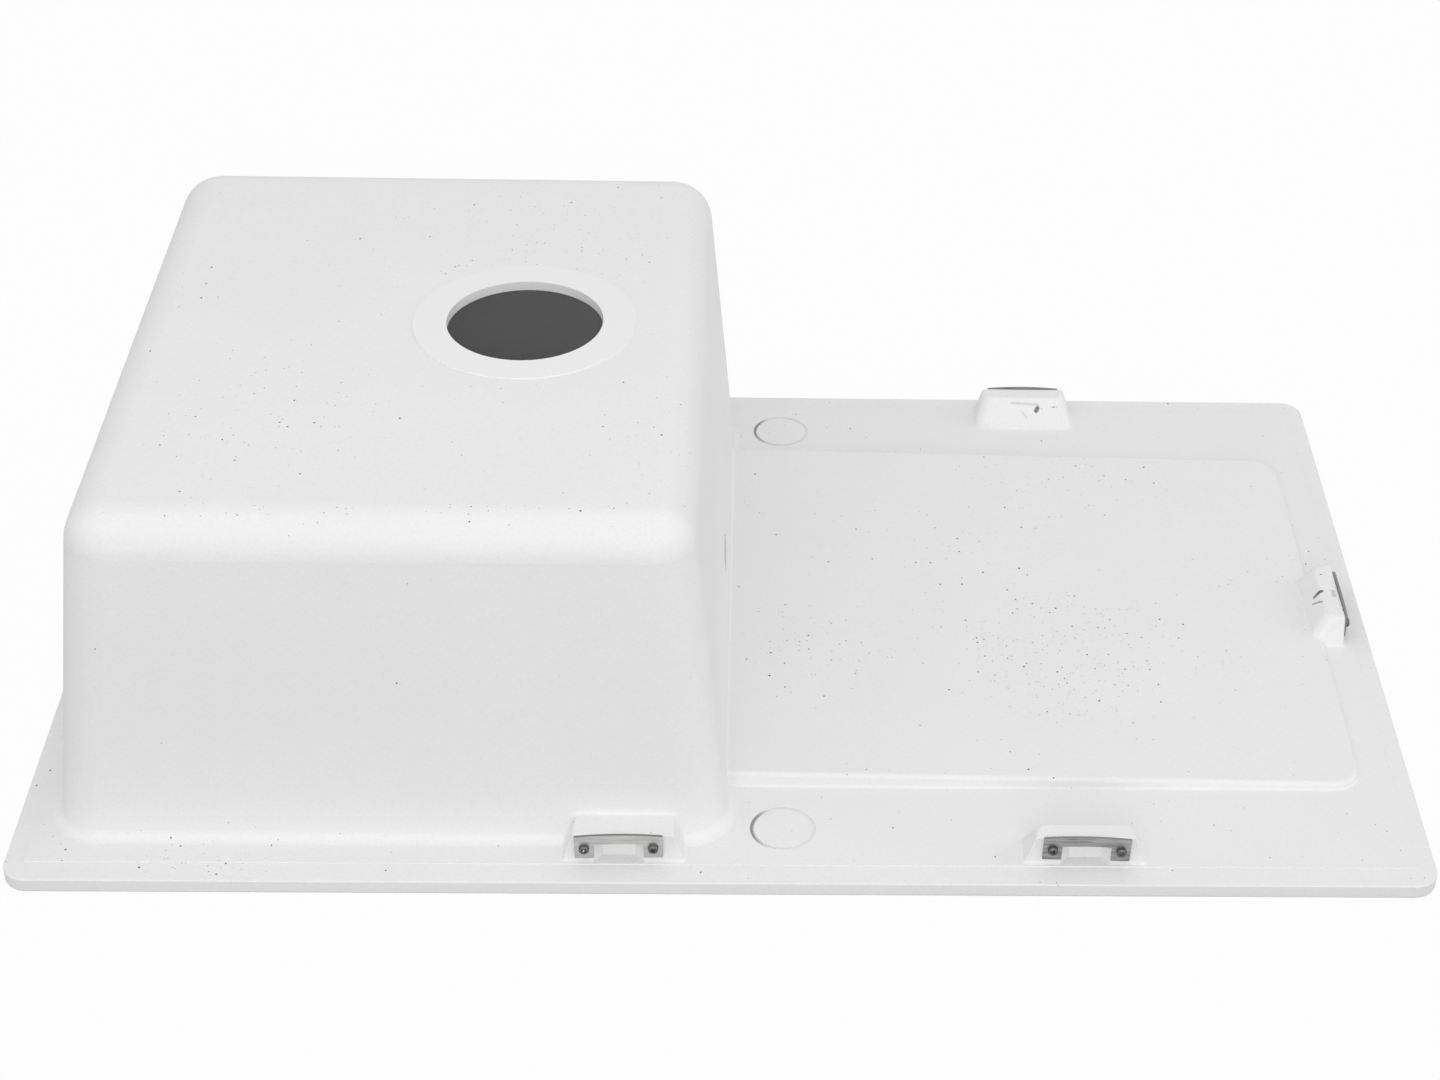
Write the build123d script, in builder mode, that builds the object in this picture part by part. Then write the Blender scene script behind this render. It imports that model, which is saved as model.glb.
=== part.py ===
"""Inset composite kitchen sink with one bowl and a drainer, lying on its face.

The sink lies as it does on a bench before fitting: the visible face is down on z = 0 and
the bowl stands up along +Z. +X runs from the bowl towards the drainer, and +Y away from
the front edge. The origin is the centre of the rim on the plane it lies on. Millimetres.
"""

from build123d import *
from math import radians, tan
import os

# --- Rim: a slab whose outer band is a little lower than the field inside it ---
rim_length = 780
rim_width = 500
rim_corner = 14
rim_edge = 9
face_edge_round = 2
back_edge_round = 0.8
band_width_end = 10.5
band_width_front = 14.8
field_rise = 0.8

# --- Bowl: outer shape, measured where it meets the rim's field ---
bowl_margin_left = 23.2
bowl_margin_front = 33.3
bowl_length = 366.8
bowl_corner = 25
bowl_height = 207.2
bowl_wall = 8
draft_front = 4.4
draft_left = 6.8
draft_right = 4.8
base_round = 23
foot_round = 6
opening_round = 5

# --- Waste hole, its raised pad and the strainer's seat inside the bowl ---
waste_right = 64.2
waste_back = 9.3
waste_hole_radius = 45
pad_radius = 64.2
pad_rise = 0.8
strainer_radius = 58
strainer_depth = 3.2

# --- Overflow: a slot with round ends through the bowl's right wall ---
overflow_length = 29
overflow_height = 14.5
overflow_rise = 53

# --- Drainer: the underside of a tray that is sunk into the face ---
tray_margin = 81
tray_end_margin = 29.7
tray_corner = 16
tray_top_at_bowl = 19.5
tray_top_at_end = 14.3
tray_wall = 8
tray_edge_round = 2.5
tray_foot_round = 1.6
tray_floor_round = 2

# --- Drain channels, shallow grooves in the face of the tray ---
channel_count = 7
channel_width = 8
channel_depth = 1.2
channel_end_margin = 35
channel_side_margin = 43

# --- Tap knock-outs: ring grooves on the back of the rim ---
knockout_right = 31.1
knockout_margin = 45
knockout_radius = 18.2
knockout_groove_width = 1.9
knockout_groove_depth = 0.8

# --- Clip bosses, which stand on the rim's field ---
boss_inset = 17
boss_height = 18.4
boss_length = 67
boss_depth = 23
boss_depth_at_bowl = 32
boss_end_draft = 18
boss_back_draft = 31
boss_corner = 7
boss_edge_round = 2.5
boss_face_round = 0.8
boss_foot_round = 1.8
boss_front_left_x = -56
boss_front_right_x = 196
pocket_depth = 5.5
pocket_back_length = 17.5
pocket_height = 15

# --- Clip plates: a sheet metal U, legs towards the rim ---
plate_length = 47.8
plate_height = 14.6
plate_leg = 10.3
plate_bar = 5.4
plate_bow = 1.2
plate_gap_bow = 0.6
plate_thickness = 1.5
plate_foot_rise = 3.6
shift_front_left = -2.3
shift_front_right = 0.5
shift_right = -3.5
tilt_front_left = 0.9
tilt_front_right = -1.4

# --- Screws and the brass inserts that they turn into ---
screw_rise = 6.9
screw_hole_clearance = 0.2
screw_head_radius = 2.8
screw_head_height = 2.6
screw_head_round = 1.4
screw_shank_radius = 1.5
screw_length = 8
screw_point = 0.5
cross_length = 3.2
cross_width = 0.9
cross_depth = 1.3
thread_clearance = 0.05
insert_radius = 2.6
insert_length = 7
insert_hole_depth = 8.2
insert_clearance = 0.05

# --- Values worked out from the ones above ---
field_top = rim_edge + field_rise
field_length = rim_length - 2 * band_width_end
field_width = rim_width - 2 * band_width_front
bowl_left = bowl_margin_left - rim_length / 2
bowl_right = bowl_left + bowl_length
bowl_width = rim_width - 2 * bowl_margin_front
pad_top = bowl_height + pad_rise
waste_x = (bowl_left + bowl_right) / 2 + waste_right
cavity_top = bowl_height - bowl_wall
tray_start = bowl_right - 2 * bowl_wall
tray_end = rim_length / 2 - tray_end_margin
tray_width = rim_width - 2 * tray_margin
tray_length = tray_end - bowl_right
tray_slope = (tray_top_at_end - tray_top_at_bowl) / tray_length
channel_spacing = (tray_width - 2 * channel_side_margin) / (channel_count - 1)
overflow_reach = 2 * bowl_wall + (overflow_rise - field_top) * tan(radians(draft_right))
pocket_length = plate_length - 2 * plate_leg
screw_spacing = plate_length - plate_leg
screw_height = plate_foot_rise + screw_rise
knockout_x = bowl_right + knockout_right
knockout_y = rim_width / 2 - knockout_margin


def bowl_section(height, inset):
    """Centre, length and width of the bowl at a height, this far inside its outer wall."""
    rise = height - field_top
    left = bowl_left + rise * tan(radians(draft_left)) + inset
    right = bowl_right - rise * tan(radians(draft_right)) - inset
    width = bowl_width - 2 * rise * tan(radians(draft_front)) - 2 * inset
    return (left + right) / 2, right - left, width


def tray_plane(drop):
    """Plane of the tray's sloping back, moved this far towards the face."""
    start = Vector(bowl_right, 0, tray_top_at_bowl)
    slope = Vector(1, 0, tray_slope)
    return Plane(start, x_dir=slope, z_dir=slope.cross(Vector(0, 1, 0))).offset(-drop)


def boss_planes():
    """Three planes on each boss's outward face: x along the rim, y up, z outwards.

    The first starts at the boss's middle on the rim's field, the second at the plate's
    middle there, and the third, which takes the plate's small tilt, between its screws.
    """
    front = boss_inset - rim_width / 2
    side = rim_length / 2 - boss_inset
    left_x = boss_front_left_x
    right_x = boss_front_right_x
    places = {
        "front_left": ((left_x, front), (1, 0), (0, -1), shift_front_left, tilt_front_left),
        "front_right": ((right_x, front), (1, 0), (0, -1), shift_front_right, tilt_front_right),
        "right": ((side, 0), (0, 1), (1, 0), shift_right, 0),
        "back_right": ((right_x, -front), (-1, 0), (0, 1), 0, 0),
        "back_left": ((left_x, -front), (-1, 0), (0, 1), 0, 0),
        "left": ((-side, 0), (0, -1), (-1, 0), 0, 0),
    }
    planes = {}
    for name, (place, along, out, shift, tilt) in places.items():
        outward = Axis((0, 0, 0), (*out, 0))
        level = Vector(*along, 0)
        tilted = level.rotate(outward, tilt)
        boss = Plane((*place, field_top), x_dir=level, z_dir=outward.direction)
        seat = Plane(boss.from_local_coords((shift, 0, 0)), x_dir=level, z_dir=boss.z_dir)
        middle = seat.from_local_coords((0, screw_height, 0))
        planes[name] = (boss, seat, Plane(middle, x_dir=tilted, z_dir=boss.z_dir))
    return planes


def upright_edges(block):
    """Edges that lie neither in the block's lowest level nor in its highest."""
    levels = block.edges().group_by(Axis.Z)
    return block.edges() - levels[0] - levels[-1]


def bowl_block(low, high, inset):
    """Tapered block with rounded corners, this far inside the bowl's outer wall."""
    centre, length, width = bowl_section(low, inset)
    level = Plane((centre, 0, low))
    with BuildPart() as block:
        with BuildSketch(level):
            Rectangle(length, width)
        extrude(amount=high - low)
        draft(block.faces().sort_by(Axis.X)[0], level, draft_left)
        draft(block.faces().sort_by(Axis.X)[-1], level, draft_right)
        draft(block.faces().filter_by(Axis.Y), level, draft_front)
        fillet(upright_edges(block), bowl_corner - inset)
        fillet(block.edges().group_by(Axis.Z)[-1], base_round - inset)
    return block.part


def boss_block(face, depth):
    """Boss this deep at its foot: an upright outward face, and ends and a back that lean.

    The block starts out deeper by its edge round, so that its outward face, which the plate
    covers, is cut flat to its full height.
    """
    level = Plane(face.from_local_coords((0, -field_rise, 0)), x_dir=face.x_dir)
    along = Axis(level.origin, level.x_dir)
    inward = Axis(level.origin, level.y_dir)
    with BuildPart() as boss:
        with BuildSketch(level):
            with Locations((0, (depth - boss_edge_round) / 2)):
                Rectangle(boss_length, depth + boss_edge_round)
        extrude(amount=boss_height + field_rise)
        draft(boss.faces().sort_by(inward)[-1], level, boss_back_draft)
        draft(boss.faces().sort_by(along)[0], level, boss_end_draft)
        draft(boss.faces().sort_by(along)[-1], level, boss_end_draft)
        fillet(upright_edges(boss).sort_by(inward)[-2:], boss_corner)
        fillet(boss.edges().group_by(Axis.Z)[-1], boss_edge_round)
        split(bisect_by=face, keep=Keep.BOTTOM)
        outward = boss.faces().sort_by(inward)[0]
        fillet(outward.edges() - boss.edges().group_by(Axis.Z)[0], boss_face_round)
    return boss.part


def tray_outline(end, width, corner):
    """Draw the tray's outline from inside the bowl to its end, where it has two corners."""
    with Locations(((tray_start + end) / 2, 0)):
        outline = Rectangle(end - tray_start, width)
    fillet(outline.vertices().group_by(Axis.X)[-1], corner)


stations = boss_planes()
os.makedirs("parts", exist_ok=True)

# --- Back of the tray: a shallow block whose top slopes down towards the rim's end ---
with BuildPart() as tray_block:
    with BuildSketch(Plane.XY.offset(rim_edge)):
        tray_outline(tray_end, tray_width, tray_corner)
    extrude(amount=tray_top_at_bowl)
    split(bisect_by=tray_plane(0), keep=Keep.BOTTOM)
    back = tray_block.faces().sort_by(Axis.Z)[-1]
    fillet(back.edges().sort_by(Axis.X)[1:], tray_edge_round)

# --- Space of the tray, open to the bowl, with its drain channels ---
with BuildPart() as tray_recess:
    with BuildSketch():
        tray_outline(tray_end - tray_wall, tray_width - 2 * tray_wall, tray_corner - tray_wall)
    extrude(amount=2 * tray_top_at_bowl)
    split(bisect_by=tray_plane(tray_wall), keep=Keep.BOTTOM)
    floor = tray_recess.faces().sort_by(Axis.Z)[-1]
    fillet(floor.edges().sort_by(Axis.X)[1:], tray_floor_round)
    with BuildSketch(tray_plane(tray_wall)):
        with Locations((tray_length / 2, 0)):
            with GridLocations(0, channel_spacing, 1, channel_count):
                SlotOverall(tray_length - 2 * channel_end_margin, channel_width)
    extrude(amount=channel_depth)

# --- Composite body ---
with BuildPart() as sink_body:
    # Rim slab, rounded where it lies on its face
    with BuildSketch():
        RectangleRounded(rim_length, rim_width, rim_corner)
    extrude(amount=rim_edge)
    fillet(sink_body.edges().group_by(Axis.Z)[0], face_edge_round)
    fillet(sink_body.edges().group_by(Axis.Z)[-1], back_edge_round)
    # Field inside the outer band, a little higher
    with BuildSketch(Plane.XY.offset(rim_edge)):
        Rectangle(field_length, field_width)
    extrude(amount=field_rise)

    # Outside of the bowl and back of the tray, with soft inner corners
    add(bowl_block(rim_edge, bowl_height, 0))
    fillet(sink_body.edges(Select.NEW), foot_round)
    add(tray_block.part)
    fillet(sink_body.edges(Select.NEW), tray_foot_round)

    # Clip bosses, each with a tapered pocket behind its plate and holes for the inserts
    for name, (boss, seat, screws) in stations.items():
        # beside the bowl, a boss runs back into the bowl's wall
        beside_bowl = name in ("front_left", "back_left")
        add(boss_block(boss, boss_depth_at_bowl if beside_bowl else boss_depth))
        fillet(sink_body.edges(Select.NEW), boss_foot_round)
        middle = seat.from_local_coords((0, pocket_height / 2, 0))
        mouth = Plane(middle, x_dir=seat.x_dir, z_dir=seat.z_dir)
        with BuildSketch(mouth):
            Rectangle(pocket_length, pocket_height)
        with BuildSketch(mouth.offset(-pocket_depth)):
            Rectangle(pocket_back_length, pocket_height)
        loft(mode=Mode.SUBTRACT)
        # the pocket's mouth goes through the soft foot in front of it
        with BuildSketch(mouth):
            Rectangle(pocket_length, pocket_height)
        extrude(amount=boss_foot_round, mode=Mode.SUBTRACT)
        with BuildSketch(screws):
            with GridLocations(screw_spacing, 0, 2, 1):
                Circle(insert_radius + insert_clearance)
        extrude(amount=-insert_hole_depth, mode=Mode.SUBTRACT)

    # Spaces on the face side, and the soft edge round both
    add(bowl_block(0, cavity_top, bowl_wall), mode=Mode.SUBTRACT)
    add(tray_recess.part, mode=Mode.SUBTRACT)
    rim_face = sink_body.faces().sort_by(Axis.Z)[0]
    fillet(rim_face.inner_wires()[0].edges(), opening_round)

    # Waste hole through a raised pad, with the strainer's seat on the inside
    with BuildSketch(Plane((waste_x, waste_back, bowl_height))):
        Circle(pad_radius)
    extrude(amount=pad_rise)
    with BuildSketch(Plane((waste_x, waste_back, cavity_top))):
        Circle(strainer_radius)
    extrude(amount=strainer_depth, mode=Mode.SUBTRACT)
    with BuildSketch(Plane((waste_x, waste_back, cavity_top))):
        Circle(waste_hole_radius)
    extrude(amount=bowl_wall + pad_rise, mode=Mode.SUBTRACT)

    # Overflow slot through the bowl's wall, above the tray
    with BuildSketch(Plane((bowl_right, 0, overflow_rise), x_dir=(0, 1, 0), z_dir=(-1, 0, 0))):
        SlotOverall(overflow_length, overflow_height)
    extrude(amount=overflow_reach, mode=Mode.SUBTRACT)

    # Ring grooves round the tap knock-outs
    with BuildSketch(Plane.XY.offset(field_top)):
        with Locations((knockout_x, -knockout_y), (knockout_x, knockout_y)):
            Circle(knockout_radius)
            Circle(knockout_radius - knockout_groove_width, mode=Mode.SUBTRACT)
    extrude(amount=-knockout_groove_depth, mode=Mode.SUBTRACT)
sink_body.part.label = "sink_body"
export_step(sink_body.part, "parts/sink_body.step")

# --- Clip plates, screws and inserts, one plate and two of each to a boss ---
for name, (boss, seat, screws) in stations.items():
    low = -screw_rise
    high = low + plate_height
    gap = high - plate_bar
    half = plate_length / 2
    inner = pocket_length / 2
    with BuildPart() as plate:
        with BuildSketch(screws):
            with BuildLine():
                Polyline((-inner, gap), (-inner, low), (-half, low), (-half, high))
                ThreePointArc((-half, high), (0, high + plate_bow), (half, high))
                Polyline((half, high), (half, low), (inner, low), (inner, gap))
                ThreePointArc((inner, gap), (0, gap + plate_gap_bow), (-inner, gap))
            make_face()
            with GridLocations(screw_spacing, 0, 2, 1):
                Circle(screw_shank_radius + screw_hole_clearance, mode=Mode.SUBTRACT)
        extrude(amount=plate_thickness)
    plate.part.label = f"clip_plate_{name}"
    export_step(plate.part, f"parts/{plate.part.label}.step")

    for side, offset in (("a", -screw_spacing / 2), ("b", screw_spacing / 2)):
        centre = Plane(
            screws.from_local_coords((offset, 0, 0)), x_dir=screws.x_dir, z_dir=screws.z_dir
        )
        with BuildPart() as screw:
            with BuildSketch(centre.offset(plate_thickness)):
                Circle(screw_head_radius)
            extrude(amount=screw_head_height)
            along = Axis(centre.origin, centre.z_dir)
            fillet(screw.edges().sort_by(along)[-1], screw_head_round)
            with BuildSketch(centre.offset(plate_thickness)):
                Circle(screw_shank_radius)
            extrude(amount=-screw_length)
            chamfer(screw.edges().sort_by(along)[0], screw_point)
            with BuildSketch(centre.offset(plate_thickness + screw_head_height)):
                Rectangle(cross_length, cross_width)
                Rectangle(cross_width, cross_length)
            extrude(amount=-cross_depth, mode=Mode.SUBTRACT)
        screw.part.label = f"screw_{name}_{side}"
        export_step(screw.part, f"parts/{screw.part.label}.step")

        with BuildPart() as insert:
            with BuildSketch(centre):
                Circle(insert_radius)
                Circle(screw_shank_radius + thread_clearance, mode=Mode.SUBTRACT)
            extrude(amount=-insert_length)
        insert.part.label = f"insert_{name}_{side}"
        export_step(insert.part, f"parts/{insert.part.label}.step")
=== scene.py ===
# %% [markdown]
# # A white composite sink, lying on its face
#
# The real thing is an inset kitchen sink cast in one piece from resin and ground quartz, with
# one bowl and a drainer. It lies on its visible face, as it does on a bench before fitting, so
# this script dresses its underside: a pale moulded skin with pinholes, six clip plates of
# zinc-plated sheet, and the screws that hold them. The shapes come with the frame, at their
# real size, and this script gives them their surfaces, and adds what is too fine for them.

# %% Load the frame
import math
import bmesh
import bpy
import numpy as np
from mathutils import Matrix, Vector


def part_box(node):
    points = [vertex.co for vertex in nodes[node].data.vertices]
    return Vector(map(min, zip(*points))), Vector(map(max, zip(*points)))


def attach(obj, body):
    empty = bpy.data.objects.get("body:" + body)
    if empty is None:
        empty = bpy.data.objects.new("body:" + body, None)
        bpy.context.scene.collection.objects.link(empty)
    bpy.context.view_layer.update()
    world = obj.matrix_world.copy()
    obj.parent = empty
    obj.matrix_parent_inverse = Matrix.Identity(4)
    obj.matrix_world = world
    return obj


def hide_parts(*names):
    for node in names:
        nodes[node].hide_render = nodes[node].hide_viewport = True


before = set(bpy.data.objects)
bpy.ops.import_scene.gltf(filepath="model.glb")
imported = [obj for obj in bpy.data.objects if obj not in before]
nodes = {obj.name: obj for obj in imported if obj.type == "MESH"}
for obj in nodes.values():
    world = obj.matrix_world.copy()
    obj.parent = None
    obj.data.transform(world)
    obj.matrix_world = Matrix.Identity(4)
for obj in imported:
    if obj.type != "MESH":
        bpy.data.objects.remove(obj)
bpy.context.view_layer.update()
MM = 0.001

# %% [markdown]
# ## Camera
#
# The sink is seen from its front edge, from 1.7 metres away and looking down at 35 degrees. A
# camera's lens and its sensor's width give the angle of view together, so the lens length in
# millimetres is the focal length in pixels, divided by the picture's width in pixels and times
# the sensor's 36 mm. The camera could be placed by eye, but measured numbers put the sink's
# corners close to where the picture has them. A small sideways shift keeps the sink in the frame
# while the camera points a little to its right, as a cropped photograph does.

# %% Set up the camera
PICTURE_WIDTH = 1440
FOCAL_PIXELS = 2756.3
CENTRE_PIXELS = 840
SENSOR_MM = 36
FARTHEST = 100  # metres
EYE_MM = (13.3, -1370.7, 1009.1)
HEADING, TILT, ROLL = (math.radians(a) for a in (-2.185, 55.394, 1.749))

lens = bpy.data.cameras.new("camera")
lens.sensor_width = SENSOR_MM
lens.lens = FOCAL_PIXELS / PICTURE_WIDTH * SENSOR_MM
lens.shift_x = (PICTURE_WIDTH / 2 - CENTRE_PIXELS) / PICTURE_WIDTH
lens.clip_end = FARTHEST
camera = bpy.data.objects.new("camera", lens)
bpy.context.scene.collection.objects.link(camera)
turn = Matrix.Rotation(HEADING, 4, "Z") @ Matrix.Rotation(TILT, 4, "X")
turn = turn @ Matrix.Rotation(ROLL, 4, "Z")
camera.matrix_world = Matrix.Translation(Vector(EYE_MM) * MM) @ turn
bpy.context.scene.camera = camera
print("camera: lens %.1f mm, shift %.3f" % (lens.lens, lens.shift_x))

# %% [markdown]
# ## Colours and nodes
#
# Colours are written as the hex values that a paint chart or a picture gives, and Blender
# counts in linear light, so one function turns the first into the second. Every material below
# is a chain of nodes, which could be laid out by hand in the editor. Written in code, a number
# that was measured stays a number. One helper adds a node, sets its properties, and fills its
# inputs with plain values or with the output of a node before it.


# %% Helpers for colours and nodes
def linear(code):
    """Linear RGBA of an sRGB hex colour: each channel through the sRGB curve, alpha 1."""
    srgb = np.array([int(code[i:i + 2], 16) for i in (1, 3, 5)]) / 255
    low, high = srgb / 12.92, ((srgb + 0.055) / 1.055) ** 2.4
    return (*np.where(srgb <= 0.04045, low, high).tolist(), 1.0)


def add(tree, kind, inputs, **settings):
    """Add a node of this kind: settings are its properties, inputs its values or links."""
    node = tree.nodes.new("ShaderNode" + kind)
    for name, value in settings.items():
        setattr(node, name, value)
    for name, value in inputs.items():
        if isinstance(value, bpy.types.NodeSocket):
            tree.links.new(value, node.inputs[name])
        else:
            node.inputs[name].default_value = value
    return node


def new_material(name):
    """A material with an empty node tree, but for the place on the piece in metres."""
    material = bpy.data.materials.new(name)
    material.use_nodes = True
    tree = material.node_tree
    tree.nodes.clear()
    place = add(tree, "TexCoord", {}).outputs["Object"]
    return material, tree, place


def dress(material, names):
    """Give this material to these pieces of the frame."""
    for name in names:
        slots = nodes[name].data.materials
        slots.clear()
        slots.append(material)
    print(material.name, "on", len(names), "pieces")


# %% [markdown]
# ## Distances as masks
#
# Most of what a cast surface shows is a mark at a place: a ground ring, a porous patch, a
# scuff. Each is a question of how far the surface is from a point, or from a line between two
# points. The marks could be painted on an image wrapped round the sink. Distances measured in
# space need no map of the piece, and their marks stay sharp however near the camera comes.
# Noise makes them less even. It lies mostly between 0.3 and 0.7, and is drawn out from there.


# %% Helpers for distances
MOST_NOISE = (0.3, 0.7)
MIDDLE_NOISE = (0.35, 0.65)


def ramp(tree, value, start, end, low=0.0, high=1.0):
    """A value's place between start and end, drawn out from low to high and no further."""
    limits = {"From Min": start, "From Max": end, "To Min": low, "To Max": high}
    return add(tree, "MapRange", {"Value": value, **limits}).outputs[0]


def maths(tree, operation, *values):
    """The result of one arithmetic step on these values or links."""
    return add(tree, "Math", dict(enumerate(values)), operation=operation).outputs[0]


def from_point(tree, place, point_mm):
    """Distance from a point, in metres."""
    point = tuple(MM * v for v in point_mm)
    return add(tree, "VectorMath", {0: place, 1: point}, operation="DISTANCE").outputs["Value"]


def from_line(tree, place, start_mm, end_mm):
    """Distance from a line's nearest point, which is its start plus a share, 0 to 1, of its run."""
    start, end = (np.array(p) * MM for p in (start_mm, end_mm))
    run = end - start
    away = add(tree, "VectorMath", {0: place, 1: tuple(start)}, operation="SUBTRACT").outputs[0]
    share = add(tree, "VectorMath", {0: away, 1: tuple(run / (run @ run))}, operation="DOT_PRODUCT")
    share = ramp(tree, share.outputs["Value"], 0.0, 1.0)
    along = add(tree, "VectorMath", {0: tuple(run), "Scale": share}, operation="SCALE").outputs[0]
    return add(tree, "VectorMath", {0: away, 1: along}, operation="DISTANCE").outputs["Value"]


def noise(tree, place, size_mm, detail):
    """Soft noise whose lumps are about this size, with this many finer layers on them."""
    scale = 1 / (size_mm * MM)
    return add(tree, "TexNoise", {"Vector": place, "Scale": scale, "Detail": detail}).outputs[0]


def tint(tree, factor, base, over):
    """Base colour, covered by over as far as factor says: inputs 6 and 7 are the node's colours."""
    return add(tree, "Mix", {0: factor, 6: base, 7: over}, data_type="RGBA").outputs[2]


print("helpers ready")

# %% [markdown]
# ## Pinholes in the casting
#
# The sink is quartz composite: about three quarters ground quartz in white acrylic resin,
# poured into a closed mould. Air rises through the pour and stays under the mould's upper
# faces, so pinholes pit whatever lay level, in clusters, and hardly mark the walls. A list of
# holes would be long and would never look grown. Instead a Voronoi pattern scatters points
# through space, and a hole shows wherever a point comes close to the surface, so its size
# varies by itself. A hole is kept when the random number of its cell is below the odds there.
# Fine grey pits and fewer dark ones are drawn in turn, each at its own spacing.

# %% Pinholes
FINE_HOLES = {"apart_mm": 2.4, "radius_mm": 0.45, "colour": "#8E8E8E"}
DARK_HOLES = {"apart_mm": 4.6, "radius_mm": 0.8, "colour": "#3C3C3C"}
# The middle of each porous patch, how far it reaches, and the odds of a hole in it
POROUS_MM = [
    ((205, -55, 17), 85, 0.6),
    ((55, -45, 17), 60, 0.35),
    ((120, 30, 18), 110, 0.14),
    ((200, 130, 17), 70, 0.2),
    ((-250, -90, 207), 95, 0.2),
    ((-110, 95, 207), 90, 0.2),
    ((-40, -130, 207), 80, 0.14),
    ((-44, -217, 30), 22, 0.12),
    ((206, -215, 26), 34, 0.15),
    ((372, 40, 12), 60, 0.15),
    ((-285, -234, 9), 45, 0.4),
]
POUR_LINE_MM = ((-290, -187, 207), (-45, -184, 207))
POUR_LINE_REACH_MM = 5
POUR_LINE_ODDS = 0.5
STRAY_ODDS = 0.035
# Upward share of the normal where holes set in, and where they are all there
LEVEL_NORMAL = (0.35, 0.8)
# The share of the odds that is left on the walls
WALL_SHARE = 0.08
# Shares of a patch's reach where its odds are full, and of a hole's largest radius: the
# smallest radius, and the width of the soft rim
PATCH_CORE = 0.5
SMALLEST_HOLE = 0.5
HOLE_EDGE = 0.3


def pinholes(tree, place, odds, apart_mm, radius_mm, colour, under):
    """Colour with round pits: dark inside the radius of a kept cell's point, soft at the rim.

    The radius runs from the smallest hole's share to the whole of it, at random by cell, and is
    counted in cells, as the Voronoi distance is.
    """
    cells = add(tree, "TexVoronoi", {"Vector": place, "Scale": 1 / (apart_mm * MM)})
    chance = add(tree, "SeparateColor", {"Color": cells.outputs["Color"]}).outputs
    kept = maths(tree, "LESS_THAN", chance["Red"], odds)
    most = radius_mm / apart_mm
    radius = ramp(tree, chance["Green"], 0.0, 1.0, SMALLEST_HOLE * most, most)
    inside = maths(tree, "SUBTRACT", radius, cells.outputs["Distance"])
    pit = maths(tree, "MULTIPLY", ramp(tree, inside, 0.0, HOLE_EDGE * most), kept)
    return tint(tree, pit, under, linear(colour)), pit


def hole_odds(tree, place, level):
    """Odds of a hole: the stray ones, and more in each patch and along the pour line."""
    odds = STRAY_ODDS
    for middle, reach, most in POROUS_MM:
        away = from_point(tree, place, middle)
        near = ramp(tree, away, reach * MM, PATCH_CORE * reach * MM, 0.0, most)
        odds = maths(tree, "MAXIMUM", odds, near)
    line = from_line(tree, place, *POUR_LINE_MM)
    near = ramp(tree, line, POUR_LINE_REACH_MM * MM, 0.0, 0.0, POUR_LINE_ODDS)
    odds = maths(tree, "MAXIMUM", odds, near)
    return maths(tree, "MULTIPLY", odds, level)


print(len(POROUS_MM), "porous patches, largest", max(p[1] for p in POROUS_MM), "mm")

# %% [markdown]
# ## Quartz composite
#
# The mould side that nobody sees is left as it comes: matt, white, a touch cloudy where the
# quartz settled unevenly, with a fine stony grain. The quartz is ground to about 0.3 mm, which
# is finer than a pixel, so the grain is drawn at 1.6 mm. A picture of real stone could give
# the grain, but would show its seams on a piece this large, so noise in space draws it. The
# ring round the waste hole is ground flat for its seal, and grinding opens fresh, lighter
# stone. The few dark strokes are grease and metal rubbed off while the clips were fitted, all
# but one long faint line on the back boss, which is only drawn darker. The ring grooves round
# the tap knock-outs get painted shade on their side towards the bowl: a grey drawn in their
# colour where the groove lies in shade. The skin is a dielectric with the usual index of 1.5
# and a roughness over a half, which is what makes it look matt.

# %% Quartz composite
CLOUD_MM = 70
CLOUD_LIGHT, CLOUD_DARK = "#EDEDED", "#E8E8E8"
GRAIN_MM = 1.6
GRAIN_DARK, GRAIN_SHARE = "#E0E0E0", 0.3
COMPOSITE_IOR = 1.5
COMPOSITE_ROUGHNESS = (0.52, 0.62)
WASTE_MM = (-119.2, 9.3)
PAD_RADIUS_MM = 64.2
PAD_EDGE_MM = 0.2
PAD_LIGHT = "#ECECEC"
BASE_MM = 207
FIELD_MM = 9.8
KNOCKOUTS_MM = [(31.1, -205), (31.1, 205)]
GROOVE_RADIUS_MM = 17.5
GROOVE_WIDTH_MM = 1.9
# Grey of the painted shade in the ring grooves, on their side towards the bowl
GROOVE_SHADE = "#9C9C9C"
# Painted shade in the ring grooves: shares of the groove's width, and of its radius, where
# it sets in and where it is full
GROOVE_SHADE_LINE = (0.6, 0.3)
GROOVE_SHADE_SIDE = (0.45, 0.85)
SCUFF = "#2B2B2B"
# The share of a stroke's half width where it covers fully, and how far noise moves its edge
SCUFF_CORE = 0.6
WOBBLE = {"lumps_mm": 1.5, "reach_mm": 1.2}
# Bump: the grain's height against a pit's depth of 1, and how strong and deep it all is
PITS = {"grain": 0.5, "strength": 0.25, "deep_mm": 0.15}
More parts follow.
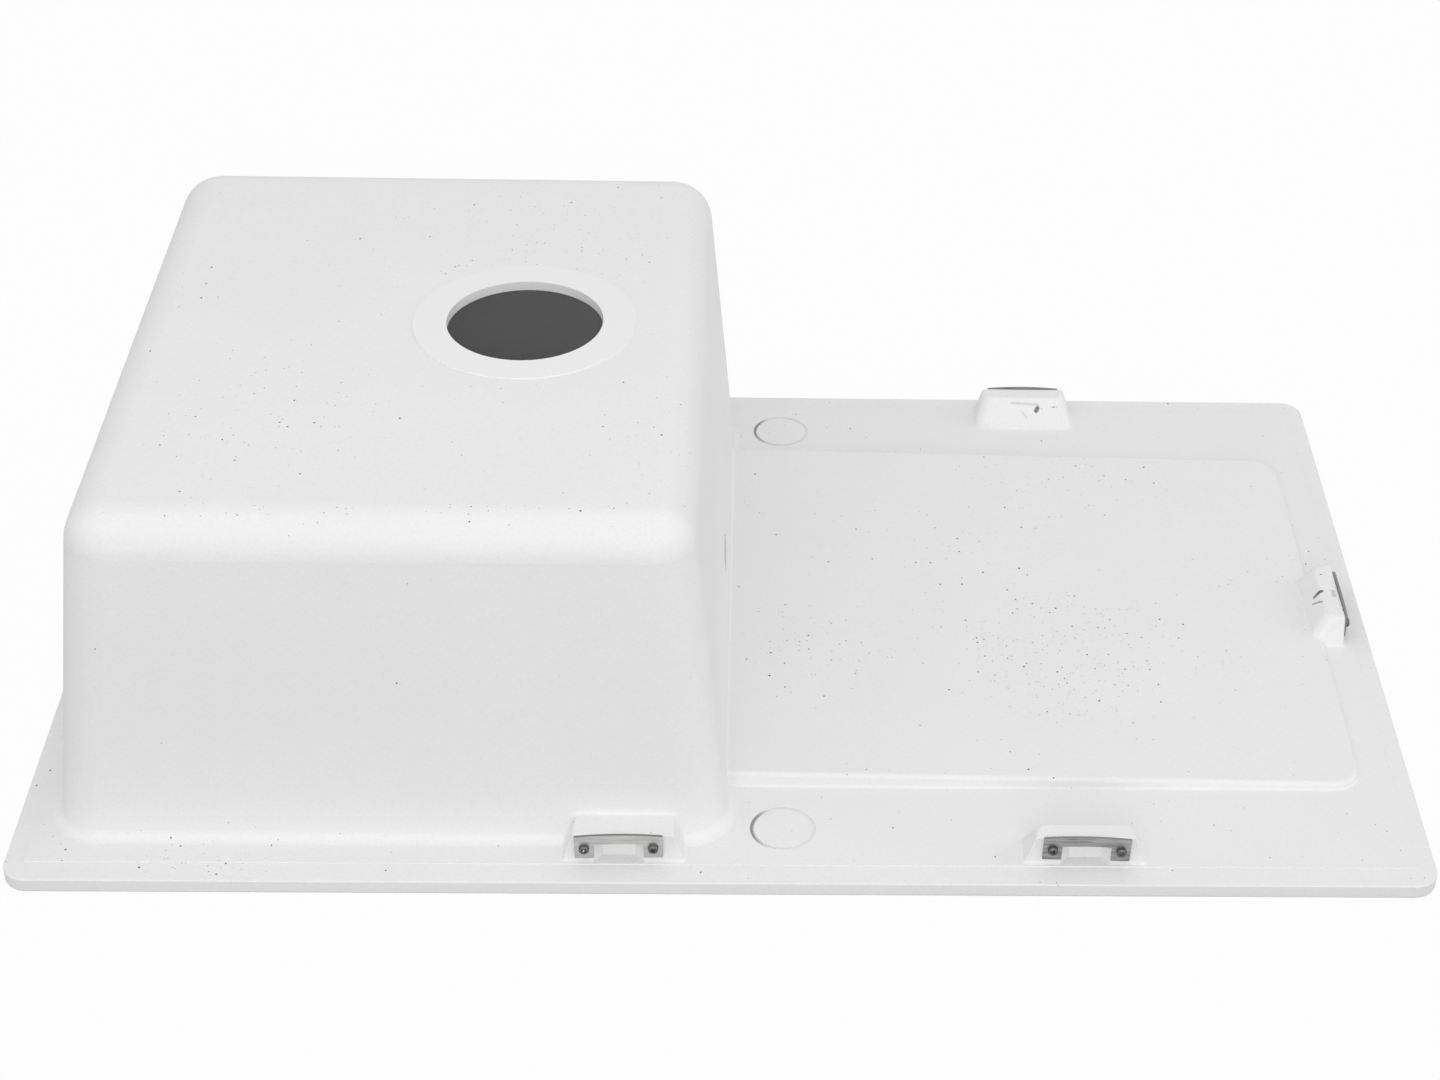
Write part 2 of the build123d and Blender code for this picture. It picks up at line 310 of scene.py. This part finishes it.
# Start and end of each stroke, half its width, and how dark it is
SCUFFS_MM = [
    ((358.9, -0.9, 23.8), (360.8, -1.3, 26.9), 1.6, 0.85),
    ((360.8, -1.3, 26.9), (362.6, -1.0, 28.2), 1.7, 0.85),
    ((357.3, -5.1, 21.1), (359.2, -7.6, 24.4), 0.75, 0.6),
    ((359.2, -7.6, 24.4), (361.4, -11.0, 27.6), 0.75, 0.6),
    ((369.6, -6.0, 28.2), (369.8, -0.5, 28.2), 1.5, 0.3),
    ((365.0, 16.9, 28.2), (365.6, 16.9, 28.2), 0.6, 0.6),
    ((204.6, 216.9, 21.0), (205.3, 217.7, 22.9), 1.9, 0.8),
    ((203.8, 218.5, 23.9), (208.6, 217.4, 22.1), 0.5, 0.5),
    ((214.6, 218.1, 23.3), (218.4, 218.1, 23.3), 0.6, 0.85),
    # The next stroke is no rub mark: it only draws a faint dark line across the back boss
    ((188.0, 219.4, 25.4), (205.7, 219.0, 24.7), 1.2, 0.2),
    ((195.2, 216.4, 20.4), (198.0, 214.2, 16.8), 0.9, 0.15),
]


def scuff(tree, place, wobble, start, end, half, depth):
    """How much a stroke covers: nothing past half its width, full in its core, ragged between."""
    reach = maths(tree, "SUBTRACT", from_line(tree, place, start, end), wobble)
    return ramp(tree, reach, half * MM, SCUFF_CORE * half * MM, 0.0, depth)


def painted_groove_shade(tree, place, middle):
    """Painted shade: 1 in the middle of the ring groove's line, on its side towards the bowl.

    How near the line is comes from the distance to the ring's middle, less the radius. Which
    side is the run from that middle along X, as a share of the radius.
    """
    x, y = middle
    radius = GROOVE_RADIUS_MM * MM
    line = maths(tree, "SUBTRACT", from_point(tree, place, (x, y, FIELD_MM)), radius)
    reach = (share * GROOVE_WIDTH_MM * MM for share in GROOVE_SHADE_LINE)
    near = ramp(tree, maths(tree, "ABSOLUTE", line), *reach)
    across = add(tree, "SeparateXYZ", {"Vector": place}).outputs["X"]
    side = ramp(tree, across, *((x - share * GROOVE_RADIUS_MM) * MM for share in GROOVE_SHADE_SIDE))
    return maths(tree, "MULTIPLY", near, side)


def quartz_composite():
    """White quartz composite as the mould leaves it."""
    material, tree, place = new_material("white_quartz_composite")
    normal = add(tree, "TexCoord", {}).outputs["Normal"]
    facing = add(tree, "SeparateXYZ", {"Vector": normal}).outputs["Z"]
    level = ramp(tree, facing, *LEVEL_NORMAL, WALL_SHARE, 1.0)
    odds = hole_odds(tree, place, level)
    grain = noise(tree, place, GRAIN_MM, 2.0)
    cloud = noise(tree, place, CLOUD_MM, 3.0)
    colour = tint(tree, cloud, linear(CLOUD_LIGHT), linear(CLOUD_DARK))
    settled = ramp(tree, grain, *MIDDLE_NOISE, 0.0, GRAIN_SHARE)
    colour = tint(tree, settled, colour, linear(GRAIN_DARK))
    # The ground ring is near the waste's middle on the plan, and higher than the bowl's base
    flat = add(tree, "VectorMath", {0: place, 1: (1, 1, 0)}, operation="MULTIPLY").outputs[0]
    away = from_point(tree, flat, (*WASTE_MM, 0))
    ring = ramp(tree, away, (PAD_RADIUS_MM + PAD_EDGE_MM) * MM, PAD_RADIUS_MM * MM)
    height = add(tree, "SeparateXYZ", {"Vector": place}).outputs["Z"]
    ground = maths(tree, "MULTIPLY", ring, maths(tree, "GREATER_THAN", height, BASE_MM * MM))
    colour = tint(tree, ground, colour, linear(PAD_LIGHT))
    odds = maths(tree, "MULTIPLY", odds, maths(tree, "SUBTRACT", 1.0, ground))
    colour, fine = pinholes(tree, place, odds, **FINE_HOLES, under=colour)
    colour, dark = pinholes(tree, place, odds, **DARK_HOLES, under=colour)
    # Painted shade in the ring grooves round the tap knock-outs, on their side towards the bowl
    for middle in KNOCKOUTS_MM:
        colour = tint(tree, painted_groove_shade(tree, place, middle), colour, linear(GROOVE_SHADE))
    wobble = maths(tree, "SUBTRACT", noise(tree, place, WOBBLE["lumps_mm"], 2.0), 0.5)
    wobble = maths(tree, "MULTIPLY", wobble, WOBBLE["reach_mm"] * MM)
    for stroke in SCUFFS_MM:
        colour = tint(tree, scuff(tree, place, wobble, *stroke), colour, linear(SCUFF))
    stone = maths(tree, "MULTIPLY", grain, PITS["grain"])
    pits = maths(tree, "SUBTRACT", stone, maths(tree, "MAXIMUM", fine, dark))
    bump = add(tree, "Bump", {
        "Height": pits, "Strength": PITS["strength"], "Distance": PITS["deep_mm"] * MM})
    rough = ramp(tree, grain, *MOST_NOISE, *COMPOSITE_ROUGHNESS)
    skin = add(tree, "BsdfPrincipled", {
        "Base Color": colour, "Roughness": rough, "IOR": COMPOSITE_IOR,
        "Normal": bump.outputs["Normal"]})
    add(tree, "OutputMaterial", {"Surface": skin.outputs["BSDF"]})
    return material


dress(quartz_composite(), ["sink_body"])

# %% [markdown]
# ## Clip plates
#
# A steel strip is zinc-plated in the coil, then the plates are sheared from it, so the faces
# are a soft grey with lines along the rolling, and the edges are bare, darker steel. Parts
# stamped from different coils differ, so each plate gets a grey and a strength of lines of its
# own. The edges could be picked out face by face. As the plates are flat, the direction that
# a face looks in tells the shader the same: it is face along the way that the clip looks, and
# edge anywhere else. The rolling lines are about 0.1 mm apart, and are drawn at 0.55 mm so
# that they show.

# %% Zinc-plated sheet
# Each plate's grey, and how strongly its rolling lines show
PLATES = {
    "front_left": ("#C8C8C7", 0.35),
    "front_right": ("#AEAEAD", 0.8),
    "right": ("#A6A6A5", 0.5),
    "back_right": ("#A2A2A1", 0.6),
    "back_left": ("#B0B0AF", 0.4),
    "left": ("#A9A9A8", 0.5),
}
SHEARED_EDGE = "#8A8A89"
# A normal with more than this along the clip's way belongs to a face and not to an edge
FACE_NORMAL = 0.7
# Size of a rolling line along X, Y and Z, on a plate whose length runs along X
ROLLING_LINE_MM = (14, 0.55, 0.55)
ROLLING_DARK = "#6E6E6D"
ROLLING_BUMP = {"strength": 0.3, "deep_mm": 0.05}
STAIN_MM = 4
STAIN_LIGHT, STAIN_SHARE = "#D2D2D0", 0.12
STAIN_LIMITS = (0.45, 0.7)
ZINC_ROUGHNESS = (0.38, 0.5)


def outward(station):
    """Axis that a clip looks along, 0 for X or 1 for Y, and 1 or -1 for the way along it."""
    if station in ("left", "right"):
        return 0, 1 if station == "right" else -1
    return 1, -1 if station.startswith("front") else 1


def zinc_sheet(station, grey, streak):
    """Zinc-plated steel strip: rolled along its length, with sheared edges."""
    material, tree, place = new_material("zinc_plated_sheet_" + station)
    axis = outward(station)[0]
    normal = add(tree, "TexCoord", {}).outputs["Normal"]
    looks = add(tree, "SeparateXYZ", {"Vector": normal}).outputs[axis]
    face = maths(tree, "GREATER_THAN", maths(tree, "ABSOLUTE", looks), FACE_NORMAL)
    size = ROLLING_LINE_MM if axis == 1 else ROLLING_LINE_MM[1::-1] + ROLLING_LINE_MM[2:]
    scale = tuple(1 / (MM * v) for v in size)
    rolled = add(tree, "VectorMath", {0: place, 1: scale}, operation="MULTIPLY").outputs[0]
    lines = add(tree, "TexNoise", {"Vector": rolled, "Scale": 1.0, "Detail": 2.0}).outputs[0]
    stain = noise(tree, place, STAIN_MM, 3.0)
    dark = ramp(tree, lines, *MIDDLE_NOISE, 0.0, streak)
    colour = tint(tree, dark, linear(grey), linear(ROLLING_DARK))
    light = ramp(tree, stain, *STAIN_LIMITS, 0.0, STAIN_SHARE)
    colour = tint(tree, light, colour, linear(STAIN_LIGHT))
    colour = tint(tree, face, linear(SHEARED_EDGE), colour)
    height = maths(tree, "MULTIPLY", lines, face)
    bump = add(tree, "Bump", {
        "Height": height, "Strength": ROLLING_BUMP["strength"],
        "Distance": ROLLING_BUMP["deep_mm"] * MM})
    metal = add(tree, "BsdfPrincipled", {
        "Base Color": colour, "Metallic": 1.0,
        "Roughness": ramp(tree, stain, *MOST_NOISE, *ZINC_ROUGHNESS),
        "Normal": bump.outputs["Normal"]})
    add(tree, "OutputMaterial", {"Surface": metal.outputs["BSDF"]})
    return material


for station, (grey, streak) in PLATES.items():
    dress(zinc_sheet(station, grey, streak), ["clip_plate_" + station])

# %% [markdown]
# ## Screws
#
# Each plate is held by two M3 pan-head machine screws with a cross recess. A recess that is
# simply cut straight down looks punched. The real one is pressed by a tapered punch, so it is
# deep in the middle and its four wings run out before the edge. The whole screw is one surface:
# a profile carried round the axis, from the middle of the head, over its crown and down the
# thread, to the middle of the tip. The recess lowers the crown, and the thread draws the shank
# in and out as a helix.

# %% Shape of a pan-head screw
HEAD_RADIUS_MM = 2.8
HEAD_HEIGHT_MM = 2.6
HEAD_ROUND_MM = 1.2
CROWN_MM = 0.35
CROWN_RINGS = 30
CORNER_RINGS = 9
TURN_STEPS = 72
PITCH_MM = 0.5
RINGS_PER_PITCH = 6
THREAD_DEPTH_MM = 0.28
RECESS_MM = {"reach": 1.6, "half_width": 0.42, "depth": 1.5, "taper": 0.22}
WING_FADE = 0.6
SHANK_RADIUS_MM = 1.5
SHANK_LENGTH_MM = 8.0
TIP_RADIUS_MM = 1.0
TIP_LENGTH_MM = 0.5


def profile(head_radius, head_height):
    """Radius and height along the screw's outline, in mm, and 1 where it is thread, 0 elsewhere.

    The crown falls with the square of the radius, the head's corner is a quarter circle, and
    the shank runs straight down to a narrower tip.
    """
    flat = head_radius - HEAD_ROUND_MM
    out = np.linspace(0.0, flat, CROWN_RINGS)
    crown = np.c_[out, head_height - CROWN_MM * (out / head_radius) ** 2]
    angle = np.linspace(0, math.pi / 2, CORNER_RINGS)[1:]
    corner = np.c_[flat + HEAD_ROUND_MM * np.sin(angle),
                   crown[-1, 1] - HEAD_ROUND_MM * (1 - np.cos(angle))]
    under = np.array([(head_radius, 0.0), (SHANK_RADIUS_MM, 0.0)])
    down = np.arange(0.0, SHANK_LENGTH_MM - TIP_LENGTH_MM, PITCH_MM / RINGS_PER_PITCH)[1:]
    shank = np.c_[np.full(len(down), SHANK_RADIUS_MM), -down]
    tip = np.array([(TIP_RADIUS_MM, -SHANK_LENGTH_MM), (0.0, -SHANK_LENGTH_MM)])
    thread = np.zeros(len(crown) + len(corner) + len(under) + len(shank) + len(tip))
    thread[-len(shank) - len(tip):-len(tip)] = 1.0
    return np.vstack([crown, corner, under, shank, tip]), thread


def recess_depth(x, y):
    """Depth of the cross at a point: the deeper of its two bars.

    A bar's depth is the most, times the share of its reach that is left, to the power of the
    fade, times the share of the taper between the point and the bar's flank.
    """
    deepest = np.zeros_like(x)
    for along, across in ((x, y), (y, x)):
        run = np.clip(1 - np.abs(along) / RECESS_MM["reach"], 0, 1) ** WING_FADE
        flank = np.clip((RECESS_MM["half_width"] - np.abs(across)) / RECESS_MM["taper"], 0, 1)
        deepest = np.maximum(deepest, RECESS_MM["depth"] * run * flank)
    return deepest


def screw_surface(head_radius, head_height, turned):
    """Points (rows, steps, 3) in mm, the axis along the third: the profile at every angle.

    The radius loses the thread's depth times a saw, 0 to 1 and back, of height over pitch plus
    the angle's share of a turn. The crown's height loses the recess.
    """
    outline, thread = profile(head_radius, head_height)
    angle = np.linspace(0, 2 * math.pi, TURN_STEPS, endpoint=False)
    height = np.repeat(outline[:, 1:], TURN_STEPS, axis=1)
    phase = (height / PITCH_MM + angle / (2 * math.pi)) % 1.0
    radius = outline[:, :1] - thread[:, None] * THREAD_DEPTH_MM * (1 - np.abs(2 * phase - 1))
    x, y = radius * np.cos(angle), radius * np.sin(angle)
    c, s = math.cos(turned), math.sin(turned)
    depth = recess_depth(c * x + s * y, c * y - s * x)
    on_head = outline[:, 1:] > head_height / 2
    return np.stack([x, y, height - depth * on_head], axis=2)


def ring_faces(rows, steps):
    """Quads between neighbouring rows of a grid that closes on itself round each row."""
    row, step = np.meshgrid(np.arange(rows - 1), np.arange(steps), indexing="ij")
    near, far = row * steps + step, row * steps + (step + 1) % steps
    return np.stack([near, near + steps, far + steps, far], axis=2).reshape(-1, 4)


rows = len(profile(HEAD_RADIUS_MM, HEAD_HEIGHT_MM)[0])
print("a screw has", rows, "rings of", TURN_STEPS, "points")

# %% [markdown]
# ## Where the screws stand
#
# The screws could be placed by measured numbers, but the frame knows better: each stands where
# its solid stands, as wide as that is, with its head's crown at the solid's outer face. They
# were driven by hand, so no two recesses stand the same way, and a seeded draw turns each one
# the same amount on every run.

# %% Place the screws
TURN_SEED = 4
WELD = 1e-7  # metres, which closes the poles
SHARP_DEGREES = 40


def mesh_piece(name, points, faces):
    """A new object from points in metres: poles closed, faces outwards, smooth but for edges."""
    mesh = bpy.data.meshes.new(name)
    mesh.from_pydata(points.tolist(), [], faces.tolist())
    shape = bmesh.new()
    shape.from_mesh(mesh)
    bmesh.ops.remove_doubles(shape, verts=shape.verts, dist=WELD)
    bmesh.ops.recalc_face_normals(shape, faces=shape.faces)
    shape.to_mesh(mesh)
    shape.free()
    mesh.shade_smooth()
    mesh.set_sharp_from_angle(angle=math.radians(SHARP_DEGREES))
    piece = bpy.data.objects.new(name, mesh)
    bpy.context.scene.collection.objects.link(piece)
    return piece


def place_screw(name, station, turned):
    """The screw's surface, moved so that its axis and its crown are those of its solid.

    The surface's three directions become across the face, up, and out of the face.
    """
    low, high = (np.array(corner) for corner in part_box(name))
    axis, way = outward(station)
    seat = (low + high) / 2
    seat[axis] = (high if way > 0 else low)[axis] - way * HEAD_HEIGHT_MM * MM
    radius = (high - low)[2] / 2 / MM
    across, out = np.zeros(3), np.zeros(3)
    across[1 - axis], out[axis] = 1.0, way
    points = screw_surface(radius, HEAD_HEIGHT_MM, turned) * MM
    points = (seat + points @ np.array([across, (0, 0, 1), out])).reshape(-1, 3)
    faces = ring_faces(rows, TURN_STEPS)
    piece = mesh_piece(name.replace("screw", "pan_head_screw"), points, faces)
    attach(piece, "root")
    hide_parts(name)
    return piece


turns = np.random.default_rng(TURN_SEED)
screws = {}
for name in sorted(n for n in nodes if n.startswith("screw_")):
    station = name[len("screw_"):-len("_a")]
    screws[name] = place_screw(name, station, turns.uniform(0, math.pi / 2))
print(len(screws), "screws,", len(screws[name].data.polygons), "faces each")

# %% [markdown]
# ## Screw steel
#
# The screws are steel with a black zinc coat, which leaves a dark metal that still shines on
# the crown. One of them has a painted glint in its recess: a near-white spot drawn in its colour
# for the light that the recess catches. It could be a piece of its own, but a short distance
# from one point does it. The recesses need no darker colour, because their own depth shades
# them.

# %% Black zinc
# Painted glint on one screw: the screw, how far the glint reaches, and the share where it is full
GLINT_SCREW = "screw_front_left_a"
GLINT_REACH_MM = 0.95
GLINT_CORE = 0.6
# How far the painted glint's middle lies behind the crown, and below the screw's axis
GLINT_IN_MM, GLINT_DOWN_MM = 1.2, 0.7
PAINTED_GLINT = "#FAFAF8"
ZINC_MOTTLE_MM = 0.8
BLACK_ZINC = ("#4C4C4C", "#7C7C7B")
BLACK_ZINC_ROUGHNESS = (0.28, 0.42)


def black_zinc(name, bright_mm):
    """Black zinc-plated steel, with a painted glint near one point where that is given."""
    material, tree, place = new_material(name)
    mottle = noise(tree, place, ZINC_MOTTLE_MM, 3.0)
    colour = tint(tree, mottle, *(linear(code) for code in BLACK_ZINC))
    # A painted glint: near-white metal drawn in the colour close to this point
    if bright_mm is not None:
        reach = GLINT_REACH_MM * MM
        near = ramp(tree, from_point(tree, place, bright_mm), reach, GLINT_CORE * reach)
        colour = tint(tree, near, colour, linear(PAINTED_GLINT))
    metal = add(tree, "BsdfPrincipled", {
        "Base Color": colour, "Metallic": 1.0,
        "Roughness": ramp(tree, mottle, *MOST_NOISE, *BLACK_ZINC_ROUGHNESS)})
    add(tree, "OutputMaterial", {"Surface": metal.outputs["BSDF"]})
    return material


plain = black_zinc("black_zinc_steel", None)
# The painted glint's middle lies in the recess of one screw, below its axis
low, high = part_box(GLINT_SCREW)
bright = (np.array(low) + np.array(high)) / 2 / MM
bright[1] = low[1] / MM + GLINT_IN_MM
bright[2] -= GLINT_DOWN_MM
glinting = black_zinc("black_zinc_steel_painted_glint", tuple(bright.tolist()))
for name, piece in screws.items():
    piece.data.materials.append(glinting if name == GLINT_SCREW else plain)
print("worn spot at", [round(v, 1) for v in bright.tolist()], "mm")

# %% [markdown]
# ## Brass inserts
#
# A machine screw can't hold in brittle composite, so each turns into a brass sleeve that is
# moulded into the boss. Turned brass is a warm, slightly uneven metal. The plate covers the
# sleeve's end, so it would show only on a sink with a plate off, and a plain mottled metal is
# enough for it.

# %% Turned brass
BRASS_MOTTLE_MM = 1.0
BRASS = ("#B98F3E", "#D9B45A")
BRASS_ROUGHNESS = (0.25, 0.4)


def turned_brass():
    """Free-cutting brass, as it comes from the lathe."""
    material, tree, place = new_material("turned_brass")
    mottle = noise(tree, place, BRASS_MOTTLE_MM, 3.0)
    colour = tint(tree, mottle, *(linear(code) for code in BRASS))
    metal = add(tree, "BsdfPrincipled", {
        "Base Color": colour, "Metallic": 1.0,
        "Roughness": ramp(tree, mottle, *MOST_NOISE, *BRASS_ROUGHNESS)})
    add(tree, "OutputMaterial", {"Surface": metal.outputs["BSDF"]})
    return material


dress(turned_brass(), [n for n in nodes if n.startswith("insert_")])

# %% [markdown]
# ## Floor
#
# The sink lies on a plain pale floor. The picture wants a pure white ground, and that may not
# come from more light, which would wash out a white sink. So the floor has two answers: to the
# light it is a matt pale grey that gathers the shadow, and to the camera, and to the metal
# that mirrors it, most of what it sends back is plain white. Light Path tells the two apart.

# %% Floor
FLOOR_SIDE = 30.0
FLOOR_GREY = "#ACACAC"
FLOOR_WHITE = 0.98


def for_the_eye(tree, to_light, to_eye, share):
    """One shader for the light, mixed by this share with another for what is seen or mirrored."""
    path = add(tree, "LightPath", {}).outputs
    seen = maths(tree, "MAXIMUM", path["Is Camera Ray"], path["Is Glossy Ray"])
    seen = maths(tree, "MAXIMUM", seen, path["Is Transmission Ray"])
    factor = maths(tree, "MULTIPLY", seen, share)
    return add(tree, "MixShader", {0: factor, 1: to_light, 2: to_eye}).outputs[0]


def floor():
    """A large square at the height the sink lies on, pale to the light and white to the eye."""
    half = FLOOR_SIDE / 2
    corners = [(-half, -half, 0), (half, -half, 0), (half, half, 0), (-half, half, 0)]
    mesh = bpy.data.meshes.new("floor")
    mesh.from_pydata(corners, [], [(0, 1, 2, 3)])
    piece = bpy.data.objects.new("floor", mesh)
    bpy.context.scene.collection.objects.link(piece)
    material, tree, _ = new_material("pale_floor")
    matt = add(tree, "BsdfDiffuse", {"Color": linear(FLOOR_GREY)}).outputs[0]
    white = add(tree, "Emission", {"Strength": 1.0}).outputs[0]
    add(tree, "OutputMaterial", {"Surface": for_the_eye(tree, matt, white, FLOOR_WHITE)})
    mesh.materials.append(material)
    print("floor:", FLOOR_SIDE, "m square")


floor()

# %% [markdown]
# ## Light
#
# White on white shows its form only by how much sky each surface sees. One strong lamp would
# model it more, but would throw hard shadows that the picture doesn't have. A white world gives
# the soft light, and large softboxes round the sink tip the balance: more from the front, so
# that the bowl's wall is nearly as bright as its base, and a little more from one side than the
# other. Their power is set so that a colour renders about as it is written.

# %% Light
WORLD_STRENGTH = 0.72
# Each softbox's place and side in metres, and its power
LIGHTS = {
    "front": {"place": (0, -3.0, 1.2), "side": 2.2, "watts": 29},
    "right": {"place": (3.0, 0, 1.4), "side": 2.2, "watts": 14.5},
    "upper_left": {"place": (-1.5, -0.6, 1.8), "side": 1.2, "watts": 2.5},
    "over_bowl": {"place": (-0.05, -0.35, 1.05), "side": 0.7, "watts": 0.8},
}


def lights():
    """Softboxes that face the sink, and a white world that fills the shadows."""
    for name, light in LIGHTS.items():
        lamp = bpy.data.lights.new(name, "AREA")
        lamp.size = light["side"]
        lamp.energy = light["watts"]
        item = bpy.data.objects.new(name, lamp)
        bpy.context.scene.collection.objects.link(item)
        item.location = light["place"]
        item.rotation_euler = (-Vector(light["place"])).to_track_quat("-Z", "Y").to_euler()
    world = bpy.data.worlds.new("white_studio")
    bpy.context.scene.world = world
    world.use_nodes = True
    tree = world.node_tree
    tree.nodes.clear()
    dim = add(tree, "Background", {"Color": (1, 1, 1, 1), "Strength": WORLD_STRENGTH}).outputs[0]
    white = add(tree, "Background", {"Color": (1, 1, 1, 1), "Strength": 1.0}).outputs[0]
    add(tree, "OutputWorld", {"Surface": for_the_eye(tree, dim, white, 1.0)})
    bpy.context.scene.view_settings.view_transform = "Standard"
    print(len(LIGHTS), "softboxes,", sum(light["watts"] for light in LIGHTS.values()), "W in all")


lights()
